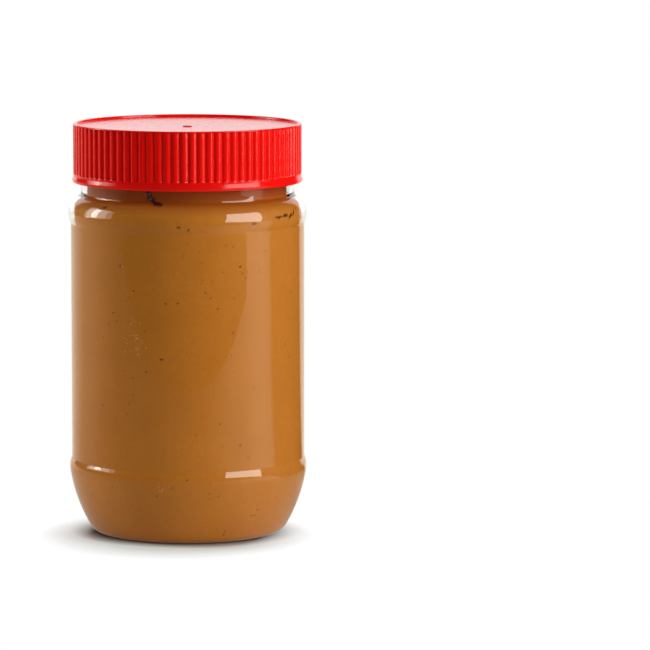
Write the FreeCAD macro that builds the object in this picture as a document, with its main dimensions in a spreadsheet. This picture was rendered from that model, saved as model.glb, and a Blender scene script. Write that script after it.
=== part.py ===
"""Plastic food jar: a clear moulded jar of peanut butter, closed by a ribbed red screw lid.

The jar is a body of revolution about Z and stands on its foot ring at z = 0. Three pieces are
modelled, each a PartDesign body of its own: the thin-walled jar, the spread that fills it, and
the lid that seats on the jar's mouth. Lengths are millimetres.
"""

import FreeCAD, Part
import math
import os

import Sketcher

Vector = FreeCAD.Vector

# ----------------------------------------------------------------------------------------------
# Driving dimensions: one spreadsheet row each
# ----------------------------------------------------------------------------------------------

DRIVING_SIZES = [
    # the jar's outline, from the foot up
    ("ring_radius", 43.7, "widest radius, on both rings"),
    ("foot_inset", 10.3, "how far the flat foot ring's outer edge lies inside the rings"),
    ("foot_width", 2.3, "width of the flat foot ring"),
    ("push_up", 4.4, "height of the domed underside at the axis"),
    ("heel_round", 3.3, "round between foot and bowl"),
    ("bowl_round", 60.0, "long round of the bowl below the lower ring"),
    ("lower_ring_height", 23.5, "height of the lower ring's widest place"),
    ("lower_round", 8.7, "round of the lower ring"),
    ("panel_depth", 0.8, "how far the label panel lies inside the rings"),
    ("crease_round", 0.8, "hollow round where the panel meets a ring"),
    ("upper_ring_height", 117.0, "height of the upper ring's widest place"),
    ("shoulder_round", 7.8, "round of the upper ring and shoulder"),
    ("neck_fillet", 1.2, "hollow round at the foot of the neck"),
    ("neck_inset", 4.5, "how far the neck's outside lies inside the rings"),
    ("neck_show", 3.85, "straight neck left open between the shoulder and the lid"),
    ("mouth_round", 0.5, "round on both edges of the mouth"),
    ("wall", 0.7, "wall of the blown body"),
    ("neck_wall", 2.0, "wall of the moulded neck"),
    # the spread
    ("head_space", 3.5, "air between the spread and the mouth"),
    # the lid
    ("lid_height", 21.5, "whole height of the lid"),
    ("skirt_wall", 1.45, "lid's skirt, from its bore out to the ribs' crests"),
    ("panel_thickness", 1.4, "top panel of the lid"),
    ("recess_depth", 1.4, "how far the top panel lies below the rim"),
    ("panel_dish", 0.5, "how far the top panel sinks from the rim to its middle"),
    ("rim_width", 1.5, "width of the raised rim"),
    ("rim_round", 0.4, "rounds on the raised rim"),
    ("thread_room", 1.2, "gap between neck and skirt, which the screw thread takes up"),
    ("band_height", 3.2, "plain band below the ribs"),
    ("band_flare", 0.45, "how far the plain band stands out over the ribs"),
    ("band_shoulder", 2.3, "height at which the band begins to draw out, going down"),
    ("band_belly", 1.1, "height of the band's widest place"),
    ("band_taper", 0.2, "how far the band draws in again towards its lower edge"),
    ("band_ease", 1.0, "rounds that ease the band's shoulder and belly"),
    ("band_round", 0.6, "round on the band's lower edge"),
    ("rib_count", 84, "number of ribs"),
    ("rib_depth", 0.65, "depth of the flutes between the ribs"),
    ("flute_round", 0.2, "hollow round at the bottom of a flute"),
    ("crest_round", 1.65, "round of the ribs' crests"),
    ("crest_land", 0.12, "width left uncut along the middle of a rib's crest"),
    ("plain_edge", 0.45, "smooth edge above the ribs"),
    ("gate_radius", 1.7, "moulding gate mark at the middle of the top panel"),
    ("gate_height", 0.35, "how far the gate mark stands up"),
]

SHEET_NAME = "Sizes"
EXPORT_FOLDER = "parts"


class Size:
    """A length, angle or count that carries its number and the sheet expression behind it."""

    def __init__(self, number, text):
        self.number = number
        self.text = text

    @staticmethod
    def of(value):
        return value if isinstance(value, Size) else Size(value, repr(value))

    def combine(self, sign, other, number):
        return Size(number, f"({self.text} {sign} {Size.of(other).text})")

    def __add__(self, other):
        return self.combine("+", other, self.number + Size.of(other).number)

    def __sub__(self, other):
        return self.combine("-", other, self.number - Size.of(other).number)

    def __mul__(self, other):
        return self.combine("*", other, self.number * Size.of(other).number)

    def __truediv__(self, other):
        return self.combine("/", other, self.number / Size.of(other).number)


NOTHING = Size(0.0, "0")


def root_of(size):
    return Size(math.sqrt(size.number), f"sqrt({size.text})")


def fill_sheet(doc):
    """Write every driving size to the spreadsheet and return them by name."""
    sheet = doc.addObject("Spreadsheet::Sheet", SHEET_NAME)
    sizes = {}
    for row, (alias, number, meaning) in enumerate(DRIVING_SIZES, start=1):
        sheet.set(f"A{row}", alias)
        sheet.set(f"B{row}", str(number))
        sheet.set(f"C{row}", meaning)
        sheet.setAlias(f"B{row}", alias)
        sizes[alias] = Size(number, f"{SHEET_NAME}.{alias}")
    doc.recompute()
    return sizes


# ----------------------------------------------------------------------------------------------
# Sketches
# ----------------------------------------------------------------------------------------------

ORIGIN = (-1, 1)  # the sketch's origin, as Sketcher names it
START, END, CENTRE = 1, 2, 3


def origin_plane(body, role):
    return next(feature for feature in body.Origin.OriginFeatures if feature.Role == role)


class Outline:
    """A sketch whose sizes are bound to the sheet: x is the radius and y the height."""

    def __init__(self, body, name, plane="XZ_Plane"):
        self.sketch = body.newObject("Sketcher::SketchObject", name)
        self.sketch.AttachmentSupport = (origin_plane(body, plane), [""])
        self.sketch.MapMode = "FlatFace"

    def line(self, start, end):
        edge = Part.LineSegment(Vector(*start, 0), Vector(*end, 0))
        return self.sketch.addGeometry(edge, False)

    def arc(self, centre, radius, start_angle, end_angle):
        """An arc that runs counter-clockwise between two angles in degrees."""
        circle = Part.Circle(Vector(*centre, 0), Vector(0, 0, 1), radius)
        edge = Part.ArcOfCircle(circle, math.radians(start_angle), math.radians(end_angle))
        return self.sketch.addGeometry(edge, False)

    def join(self, kind, first, first_end, second, second_end):
        """Join two ends, as "Coincident" or smoothly as "Tangent"."""
        self.sketch.addConstraint(Sketcher.Constraint(kind, first, first_end, second, second_end))

    def level(self, edge):
        self.sketch.addConstraint(Sketcher.Constraint("Horizontal", edge))

    def upright(self, edge):
        self.sketch.addConstraint(Sketcher.Constraint("Vertical", edge))

    def on_axis(self, edge, end):
        self.sketch.addConstraint(Sketcher.Constraint("PointOnObject", edge, end, -2))

    def bind(self, size, kind, *items):
        """Add a sized constraint and bind it to the sheet."""
        index = self.sketch.addConstraint(Sketcher.Constraint(kind, *items, size.number))
        self.sketch.setExpression(f"Constraints[{index}]", size.text)

    def radius_at(self, size, edge, end):
        self.bind(size, "DistanceX", *ORIGIN, edge, end)

    def height_at(self, size, edge, end):
        self.bind(size, "DistanceY", *ORIGIN, edge, end)

    def place(self, across, up, edge, end):
        self.radius_at(across, edge, end)
        self.height_at(up, edge, end)

    def round(self, size, edge):
        self.bind(size, "Radius", edge)

    def polygon(self, corners):
        """A closed outline of straight edges through corners given as pairs of Size."""
        points = [(across.number, up.number) for across, up in corners]
        edges = [self.line(start, end) for start, end in zip(points, points[1:] + points[:1])]
        for edge, following in zip(edges, edges[1:] + edges[:1]):
            self.join("Coincident", edge, END, following, START)
        for edge, (across, up) in zip(edges, corners):
            self.place(across, up, edge, START)
        return edges


def polar(centre, radius, angle):
    """The point at an angle in degrees on a circle."""
    turn = math.radians(angle)
    return (centre[0] + radius * math.cos(turn), centre[1] + radius * math.sin(turn))


def bearing(start, end):
    """The direction from one point to another, in degrees."""
    return math.degrees(math.atan2(end[1] - start[1], end[0] - start[0]))


def circle_meeting(first, first_reach, second, second_reach):
    """The point at two given distances from two centres, on the right of the way between them."""
    span = math.dist(first, second)
    along = (first_reach**2 - second_reach**2 + span**2) / (2 * span)
    aside = math.sqrt(first_reach**2 - along**2)
    direction = ((second[0] - first[0]) / span, (second[1] - first[1]) / span)
    return (
        first[0] + along * direction[0] + aside * direction[1],
        first[1] + along * direction[1] - aside * direction[0],
    )


# ----------------------------------------------------------------------------------------------
# Sizes that follow from the driving sizes
# ----------------------------------------------------------------------------------------------


def neck_radius(s):
    return s["ring_radius"] - s["neck_inset"]


def mouth_bore(s):
    return neck_radius(s) - s["neck_wall"]


def foot_radius(s):
    return s["ring_radius"] - s["foot_inset"]


def skirt_depth(s):
    """From the lid's seat on the mouth down to its lower edge."""
    return s["lid_height"] - s["recess_depth"] - s["panel_thickness"]


def neck_foot_height(s):
    """Where the straight neck begins, above the hollow round that meets the shoulder's round."""
    rounds = s["shoulder_round"] + s["neck_fillet"]
    return s["upper_ring_height"] + root_of(s["neck_inset"] * (rounds * 2 - s["neck_inset"]))


def mouth_height(s):
    return neck_foot_height(s) + s["neck_show"] + skirt_depth(s)


# ----------------------------------------------------------------------------------------------
# The jar's outline, drawn once for its outside and again one wall further in
# ----------------------------------------------------------------------------------------------


def jar_outline(body, name, s, inset, neck, top):
    """Draw the jar's half section, closed along the axis, at a distance inside its outer skin.

    The neck's radius and the height at which the section ends are given by themselves.
    """
    outline = Outline(body, name)

    panel_radius = s["ring_radius"] - s["panel_depth"]
    heel_radius = s["heel_round"] - inset
    bowl_radius = s["bowl_round"] - inset
    lower_radius = s["lower_round"] - inset
    shoulder_radius = s["shoulder_round"] - inset
    crease_radius = s["crease_round"] + inset
    neck_fillet = s["neck_fillet"] + inset
    panel_face = panel_radius - inset
    foot_outer = foot_radius(s)
    foot_inner = foot_outer - s["foot_width"]
    dome_top = s["push_up"] + inset

    # centres of the rounds
    heel_centre = (foot_outer.number, s["heel_round"].number)
    lower_centre = ((s["ring_radius"] - s["lower_round"]).number, s["lower_ring_height"].number)
    upper_centre = ((s["ring_radius"] - s["shoulder_round"]).number, s["upper_ring_height"].number)
    bowl_centre = circle_meeting(
        lower_centre,
        bowl_radius.number - lower_radius.number,
        heel_centre,
        bowl_radius.number - heel_radius.number,
    )
    crease_across = panel_radius.number + s["crease_round"].number

    def crease_centre(ring_centre, ring_radius, side):
        """Centre of the hollow round between a ring and the panel, above or below the ring."""
        reach = ring_radius.number + crease_radius.number
        rise = math.sqrt(reach**2 - (crease_across - ring_centre[0]) ** 2)
        return (crease_across, ring_centre[1] + side * rise)

    low_crease = crease_centre(lower_centre, lower_radius, 1)
    high_crease = crease_centre(upper_centre, shoulder_radius, -1)

    # the hollow round at the foot of the neck touches the shoulder's round
    neck_across = neck.number + neck_fillet.number
    neck_reach = shoulder_radius.number + neck_fillet.number
    neck_rise = math.sqrt(neck_reach**2 - (neck_across - upper_centre[0]) ** 2)
    neck_centre = (neck_across, upper_centre[1] + neck_rise)
    shoulder_end = bearing(upper_centre, neck_centre)

    # the domed underside is an arc through the foot's inner edge and the top of the dome
    chord, rise = foot_inner.number, s["push_up"].number
    dome_radius = (chord**2 + rise**2) / (2 * rise)
    dome_centre = (0.0, dome_top.number - dome_radius)
    dome_edge = bearing(dome_centre, (chord, inset.number))

    heel_end = bearing(bowl_centre, heel_centre)
    bowl_end = bearing(bowl_centre, lower_centre)
    lower_end = bearing(lower_centre, low_crease)
    shoulder_begin = bearing(upper_centre, high_crease)

    # edges, from the axis along the underside and up to the mouth
    dome = outline.arc(dome_centre, dome_radius, dome_edge, 90)
    foot = outline.line((chord, inset.number), (heel_centre[0], inset.number))
    heel = outline.arc(heel_centre, heel_radius.number, -90, heel_end)
    bowl = outline.arc(bowl_centre, bowl_radius.number, heel_end, bowl_end)
    lower_ring = outline.arc(lower_centre, lower_radius.number, bowl_end, lower_end)
    lower_crease = outline.arc(low_crease, crease_radius.number, 180, 180 + lower_end)
    panel = outline.line((panel_face.number, low_crease[1]), (panel_face.number, high_crease[1]))
    upper_crease = outline.arc(high_crease, crease_radius.number, 180 + shoulder_begin, 180)
    shoulder = outline.arc(upper_centre, shoulder_radius.number, shoulder_begin, shoulder_end)
    neck_foot = outline.arc(neck_centre, neck_fillet.number, 180, 180 + shoulder_end)
    neck_side = outline.line((neck.number, neck_centre[1]), (neck.number, top.number))
    end_line = outline.line((neck.number, top.number), (0, top.number))
    axis = outline.line((0, top.number), (0, dome_top.number))

    outline.join("Coincident", dome, START, foot, START)
    outline.join("Tangent", foot, END, heel, START)
    outline.join("Tangent", heel, END, bowl, START)
    outline.join("Tangent", bowl, END, lower_ring, START)
    outline.join("Tangent", lower_ring, END, lower_crease, END)
    outline.join("Tangent", lower_crease, START, panel, START)
    outline.join("Tangent", panel, END, upper_crease, END)
    outline.join("Tangent", upper_crease, START, shoulder, START)
    outline.join("Tangent", shoulder, END, neck_foot, END)
    outline.join("Tangent", neck_foot, START, neck_side, START)
    outline.join("Coincident", neck_side, END, end_line, START)
    outline.join("Coincident", end_line, END, axis, START)
    outline.join("Coincident", axis, END, dome, END)

    outline.level(foot)
    outline.level(end_line)
    outline.upright(panel)
    outline.upright(neck_side)
    outline.on_axis(axis, START)
    outline.on_axis(axis, END)
    outline.on_axis(dome, CENTRE)

    outline.place(foot_inner, inset, foot, START)
    outline.height_at(dome_top, dome, END)
    outline.place(foot_outer, s["heel_round"], heel, CENTRE)
    outline.round(bowl_radius, bowl)
    outline.place(s["ring_radius"] - s["lower_round"], s["lower_ring_height"], lower_ring, CENTRE)
    outline.round(lower_radius, lower_ring)
    outline.round(crease_radius, lower_crease)
    outline.radius_at(panel_face, panel, START)
    outline.round(crease_radius, upper_crease)
    outline.place(s["ring_radius"] - s["shoulder_round"], s["upper_ring_height"], shoulder, CENTRE)
    outline.round(shoulder_radius, shoulder)
    outline.round(neck_fillet, neck_foot)
    outline.place(neck, top, neck_side, END)
    return outline.sketch


def revolve(body, kind, name, sketch):
    """Turn a sketch a full turn about its upright axis, as a Revolution or a Groove."""
    feature = body.newObject(f"PartDesign::{kind}", name)
    feature.Profile = sketch
    feature.ReferenceAxis = (sketch, ["V_Axis"])
    feature.Angle = 360
    return feature


def ring_edges(shape, radius, height):
    """Names of the circular edges about the axis that have this radius and height."""
    names = []
    for number, edge in enumerate(shape.Edges, start=1):
        if edge.Degenerated or not isinstance(edge.Curve, Part.Circle):
            continue
        centre = edge.Curve.Center
        near_axis = math.hypot(centre.x, centre.y) < 1e-6
        if near_axis and abs(edge.Curve.Radius - radius) < 1e-4 and abs(centre.z - height) < 1e-4:
            names.append(f"Edge{number}")
    if not names:
        raise RuntimeError(f"no edge of radius {radius:.3f} at height {height:.3f}")
    return names


def fillet(body, name, base, edges, size):
    feature = body.newObject("PartDesign::Fillet", name)
    feature.Base = (base, edges)
    feature.setExpression("Radius", size.text)
    return feature


# ----------------------------------------------------------------------------------------------
# The pieces
# ----------------------------------------------------------------------------------------------


def make_jar(doc, s):
    """The clear jar: its outer form turned solid, then hollowed one wall inside."""
    body = doc.addObject("PartDesign::Body", "Jar")
    body.Label = "jar"
    mouth = mouth_height(s)

    skin = jar_outline(body, "JarSkin", s, NOTHING, neck_radius(s), mouth)
    revolve(body, "Revolution", "JarBlank", skin)
    doc.recompute()

    hollow = jar_outline(body, "JarHollow", s, s["wall"], mouth_bore(s), mouth)
    cavity = revolve(body, "Groove", "JarCavity", hollow)
    doc.recompute()

    edges = []
    for radius in (neck_radius(s), mouth_bore(s)):
        edges += ring_edges(cavity.Shape, radius.number, mouth.number)
    fillet(body, "MouthRounds", cavity, edges, s["mouth_round"])
    return body


def make_spread(doc, s):
    """The peanut butter: it fills the jar's cavity up to the head space."""
    body = doc.addObject("PartDesign::Body", "Spread")
    body.Label = "peanut_butter"
    level = mouth_height(s) - s["head_space"]
    fill = jar_outline(body, "SpreadSection", s, s["wall"], mouth_bore(s), level)
    revolve(body, "Revolution", "SpreadFill", fill)
    return body


def make_lid(doc, s):
    """The screw lid: a turned cap with a dished top, a flared band and flutes cut round it."""
    body = doc.addObject("PartDesign::Body", "Lid")
    body.Label = "lid"

    bore = neck_radius(s) + s["thread_room"]
    crests = bore + s["skirt_wall"]
    seat = skirt_depth(s)
    panel_top = seat + s["panel_thickness"]
    top = s["lid_height"]
    rim_inner = crests - s["rim_width"]
    band_radius = crests + s["band_flare"]
    band_foot = band_radius - s["band_taper"]
    gate_foot = panel_top - s["panel_dish"]
    gate_top = gate_foot + s["gate_height"]

    section = Outline(body, "LidSection")
    section.polygon(
        [
            (NOTHING, seat),
            (bore, seat),
            (bore, NOTHING),
            (band_foot, NOTHING),
            (band_radius, s["band_belly"]),
            (crests, s["band_shoulder"]),
            (crests, top),
            (rim_inner, top),
            (rim_inner, panel_top),
            (s["gate_radius"], gate_foot),
            (s["gate_radius"], gate_top),
            (NOTHING, gate_top),
        ]
    )
    blank = revolve(body, "Revolution", "LidBlank", section.sketch)
    doc.recompute()

    rim_edges = ring_edges(blank.Shape, crests.number, top.number)
    rim_edges += ring_edges(blank.Shape, rim_inner.number, top.number)
    rim = fillet(body, "RimRounds", blank, rim_edges, s["rim_round"])
    doc.recompute()
    eased_edges = ring_edges(rim.Shape, band_radius.number, s["band_belly"].number)
    eased_edges += ring_edges(rim.Shape, crests.number, s["band_shoulder"].number)
    eased = fillet(body, "BandEase", rim, eased_edges, s["band_ease"])
    doc.recompute()
    band_edges = ring_edges(eased.Shape, band_foot.number, 0.0)
    rounded = fillet(body, "BandRound", eased, band_edges, s["band_round"])
    doc.recompute()

    flute = make_flute(body, s, crests)
    pocket = body.newObject("PartDesign::Pocket", "Flute")
    pocket.Profile = flute
    pocket.Reversed = True
    pocket.setExpression("Length", (top - s["plain_edge"] - s["band_height"]).text)
    doc.recompute()
    if not pocket.Shape.Volume < rounded.Shape.Volume - 1.0:
        raise RuntimeError("the flute removes nothing from the lid")

    ring = body.newObject("PartDesign::PolarPattern", "Flutes")
    ring.Originals = [pocket]
    ring.Axis = (flute, ["N_Axis"])
    ring.Angle = 360
    ring.setExpression("Occurrences", s["rib_count"].text)
    body.Tip = ring

    body.setExpression("Placement.Base.z", (mouth_height(s) - seat).text)
    return body


def make_flute(body, s, crests):
    """Cross section of one flute: a hollow round, sloping flanks and the crests' own rounds."""
    outline = Outline(body, "FluteSection", "XY_Plane")
    outline.sketch.setExpression("AttachmentOffset.Base.z", s["band_height"].text)

    hollow_across = crests - s["rib_depth"] + s["flute_round"]
    crest_across = crests - s["crest_round"]
    pitch = crests * Size(2 * math.pi, "(2 * pi)") / s["rib_count"]
    crest_up = (pitch - s["crest_land"]) / 2
    reach = crests + s["rim_round"]  # past the crests, so that the cut is open outwards

    # the flank is the inner tangent of the hollow round and the crest's round
    hollow, hollow_radius = (hollow_across.number, 0.0), s["flute_round"].number
    crest, crest_radius = (crest_across.number, crest_up.number), s["crest_round"].number
    span = math.dist(hollow, crest)
    lean = bearing(hollow, crest) + math.degrees(math.acos((hollow_radius + crest_radius) / span))
    flank_foot = polar(hollow, hollow_radius, lean)
    flank_head = polar(crest, crest_radius, lean + 180)
    crest_top = (crests.number, crest_up.number)

    def mirrored(point):
        return (point[0], -point[1])

    bottom = outline.arc(hollow, hollow_radius, lean, 360 - lean)
    flank = outline.line(flank_foot, flank_head)
    round_off = outline.arc(crest, crest_radius, lean - 180, 0)
    way_out = outline.line(crest_top, (reach.number, crest_top[1]))
    closing = outline.line((reach.number, crest_top[1]), (reach.number, -crest_top[1]))
    way_in = outline.line((reach.number, -crest_top[1]), mirrored(crest_top))
    other_round = outline.arc(mirrored(crest), crest_radius, 0, 180 - lean)
    other_flank = outline.line(mirrored(flank_head), mirrored(flank_foot))

    outline.join("Tangent", bottom, START, flank, START)
    outline.join("Tangent", flank, END, round_off, START)
    outline.join("Coincident", round_off, END, way_out, START)
    outline.join("Coincident", way_out, END, closing, START)
    outline.join("Coincident", closing, END, way_in, START)
    outline.join("Coincident", way_in, END, other_round, START)
    outline.join("Tangent", other_round, END, other_flank, START)
    outline.join("Tangent", other_flank, END, bottom, END)

    outline.place(hollow_across, NOTHING, bottom, CENTRE)
    outline.round(s["flute_round"], bottom)
    for edge, end, side in ((round_off, END, 1), (other_round, START, -1)):
        outline.place(crest_across, crest_up * side, edge, CENTRE)
        outline.place(crests, crest_up * side, edge, end)
    outline.level(way_out)
    outline.level(way_in)
    outline.upright(closing)
    outline.radius_at(reach, closing, START)
    return outline.sketch


# ----------------------------------------------------------------------------------------------
# Build, check and write
# ----------------------------------------------------------------------------------------------


def check_document(doc, pieces):
    """Stop before anything is written if an object failed or a piece is not one sound solid."""
    for item in doc.Objects:
        if {"Invalid", "Error"} & set(item.State):
            raise RuntimeError(f"{item.Name} did not compute: {item.State}")
    for piece in pieces:
        shape = piece.Shape
        if shape.isNull() or not shape.isValid() or len(shape.Solids) != 1:
            raise RuntimeError(f"{piece.Label} is not one valid solid")


def main():
    doc = FreeCAD.newDocument("FoodJar")
    sizes = fill_sheet(doc)
    pieces = [make_jar(doc, sizes), make_spread(doc, sizes), make_lid(doc, sizes)]
    doc.recompute()
    check_document(doc, pieces)

    os.makedirs(EXPORT_FOLDER, exist_ok=True)
    for piece in pieces:
        piece.Shape.exportStep(os.path.join(EXPORT_FOLDER, f"{piece.Label}.step"))
        box = piece.Shape.optimalBoundingBox(False)
        print(
            f"{piece.Label}: {piece.Shape.Volume / 1000:.1f} cm3, "
            f"z {box.ZMin:.2f} to {box.ZMax:.2f}, width {box.XLength:.2f}"
        )


main()
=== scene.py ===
"""Clear plastic jar of peanut butter with a ribbed red screw lid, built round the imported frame.

Every length is in metres and every piece stands on the frame's axis. The sizes are the ones that
drive the CAD part, apart from the depth of the lid's recess, so each piece meets its neighbours
where the CAD says.
"""

import math
import random

import bpy
import numpy as np
from mathutils import Matrix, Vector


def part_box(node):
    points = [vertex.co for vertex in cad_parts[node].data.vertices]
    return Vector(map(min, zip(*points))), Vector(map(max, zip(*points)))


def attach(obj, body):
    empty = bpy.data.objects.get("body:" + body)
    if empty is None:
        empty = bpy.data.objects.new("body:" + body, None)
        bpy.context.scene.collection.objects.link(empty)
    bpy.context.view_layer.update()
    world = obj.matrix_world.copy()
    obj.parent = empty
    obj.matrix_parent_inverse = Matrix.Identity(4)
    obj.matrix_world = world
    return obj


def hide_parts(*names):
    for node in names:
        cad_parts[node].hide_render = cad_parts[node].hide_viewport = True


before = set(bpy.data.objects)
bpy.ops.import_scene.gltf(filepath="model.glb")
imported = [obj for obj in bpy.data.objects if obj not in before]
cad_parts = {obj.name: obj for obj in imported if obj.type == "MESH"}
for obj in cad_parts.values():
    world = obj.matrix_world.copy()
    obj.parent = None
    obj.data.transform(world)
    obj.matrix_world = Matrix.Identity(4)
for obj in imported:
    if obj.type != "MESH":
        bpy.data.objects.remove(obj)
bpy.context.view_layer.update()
scene = bpy.context.scene

# ----------------------------------------------------------------------------------------------
# Sizes
# ----------------------------------------------------------------------------------------------

MM = 0.001

# the jar and its contents
RING_RADIUS = 43.7 * MM
FOOT_INSET = 10.3 * MM
FOOT_WIDTH = 2.3 * MM
PUSH_UP = 4.4 * MM
HEEL_ROUND = 3.3 * MM
BOWL_ROUND = 60.0 * MM
LOWER_RING_HEIGHT = 23.5 * MM
LOWER_ROUND = 8.7 * MM
PANEL_DEPTH = 0.8 * MM
CREASE_ROUND = 0.8 * MM
UPPER_RING_HEIGHT = 117.0 * MM
SHOULDER_ROUND = 7.8 * MM
NECK_FILLET = 1.2 * MM
NECK_INSET = 4.5 * MM
MOUTH_ROUND = 0.5 * MM
WALL = 0.7 * MM
NECK_WALL = 2.0 * MM
HEAD_SPACE = 3.5 * MM

# the lid
SKIRT_WALL = 1.45 * MM
PANEL_THICKNESS = 1.4 * MM
RECESS_DEPTH = 0.9 * MM  # shallower than in the CAD lid, as the real panel shows
PANEL_DISH = 0.5 * MM
RIM_WIDTH = 1.5 * MM
RIM_ROUND = 0.4 * MM
THREAD_ROOM = 1.2 * MM
BAND_HEIGHT = 3.2 * MM
BAND_FLARE = 0.45 * MM
BAND_SHOULDER = 2.3 * MM
BAND_BELLY = 1.1 * MM
BAND_TAPER = 0.2 * MM
BAND_EASE = 1.0 * MM
BAND_ROUND = 0.6 * MM
RIB_COUNT = 84
RIB_DEPTH = 0.65 * MM
FLUTE_ROUND = 0.2 * MM
CREST_ROUND = 1.65 * MM
CREST_LAND = 0.12 * MM
PLAIN_EDGE = 0.45 * MM
GATE_RADIUS = 1.7 * MM
GATE_HEIGHT = 0.35 * MM

# what follows from them and from the frame
NECK_RADIUS = RING_RADIUS - NECK_INSET
MOUTH_BORE = NECK_RADIUS - NECK_WALL
FOOT_RADIUS = RING_RADIUS - FOOT_INSET
LID_BORE = NECK_RADIUS + THREAD_ROOM
CREST_RADIUS = LID_BORE + SKIRT_WALL
RIM_INNER = CREST_RADIUS - RIM_WIDTH
MOUTH_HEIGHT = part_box("jar")[1].z
LID_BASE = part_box("lid")[0].z
LID_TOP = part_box("lid")[1].z
FILL_LEVEL = MOUTH_HEIGHT - HEAD_SPACE

# ----------------------------------------------------------------------------------------------
# Mesh helpers
# ----------------------------------------------------------------------------------------------


def arc(centre, radius, start, end, steps):
    """Points of an arc from one angle to another, in degrees, both ends included."""
    turns = [math.radians(start + (end - start) * i / steps) for i in range(steps + 1)]
    return [(centre[0] + radius * math.cos(a), centre[1] + radius * math.sin(a)) for a in turns]


def bearing(start, end):
    """The direction from one point to another, in degrees."""
    return math.degrees(math.atan2(end[1] - start[1], end[0] - start[0]))


def run(start, end, steps):
    """Points on a straight run after its start, up to its end."""
    return [
        (
            start[0] + (end[0] - start[0]) * i / steps,
            start[1] + (end[1] - start[1]) * i / steps,
        )
        for i in range(1, steps + 1)
    ]


def azimuth_turn(azimuth):
    """Angle about Z, in radians, of an azimuth to the right of the front, which is -Y."""
    return math.radians(azimuth - 90.0)


def full_circle(count):
    """Evenly spaced angles once round the axis."""
    return np.linspace(0.0, 2 * math.pi, count, endpoint=False)


def ring(turns, radius, height):
    """Points round the axis at given angles; the radius is one number, or one for each angle."""
    level = np.full(len(turns), height)
    return np.stack([radius * np.cos(turns), radius * np.sin(turns), level], 1)


def lathe(rings, first, last):
    """Vertices and faces of a closed skin of rings, from one height on the axis to another."""
    rings = np.asarray(rings, float)
    count, around = rings.shape[:2]
    vertices = np.vstack([[(0, 0, first)], rings.reshape(-1, 3), [(0, 0, last)]])
    step = np.arange(around)
    following = (step + 1) % around
    faces = []
    for row in range(count - 1):
        low, high = 1 + row * around, 1 + (row + 1) * around
        faces += np.stack([low + step, low + following, high + following, high + step], 1).tolist()
    top = 1 + (count - 1) * around
    end = len(vertices) - 1
    faces += [[0, 1 + b, 1 + a] for a, b in zip(step.tolist(), following.tolist())]
    faces += [[top + a, top + b, end] for a, b in zip(step.tolist(), following.tolist())]
    return vertices.tolist(), faces


def add_piece(name, vertices, faces, material, replaced=None, sharp=None):
    """A mesh piece that rides on the body, with smooth faces and its material."""
    mesh = bpy.data.meshes.new(name)
    mesh.from_pydata(vertices, [], faces)
    mesh.validate()
    mesh.polygons.foreach_set("use_smooth", [True] * len(mesh.polygons))
    if sharp is not None:
        mesh.set_sharp_from_angle(angle=math.radians(sharp))
    piece = bpy.data.objects.new(name, mesh)
    scene.collection.objects.link(piece)
    piece.data.materials.append(material)
    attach(piece, "root")
    if replaced:
        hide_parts(replaced)
    return piece


def smooth_step(value):
    """An eased step: 0 up to 0, 1 from 1 on."""
    value = np.clip(value, 0.0, 1.0)
    return value * value * (3.0 - 2.0 * value)


# ----------------------------------------------------------------------------------------------
# The jar's section, at any distance inside its outer skin
# ----------------------------------------------------------------------------------------------


def circle_meeting(first, first_reach, second, second_reach):
    """The point at two given distances from two centres, on the right of the way between them."""
    span = math.dist(first, second)
    along = (first_reach**2 - second_reach**2 + span**2) / (2 * span)
    aside = math.sqrt(first_reach**2 - along**2)
    across, up = (second[0] - first[0]) / span, (second[1] - first[1]) / span
    return (first[0] + along * across + aside * up, first[1] + along * up - aside * across)


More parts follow.
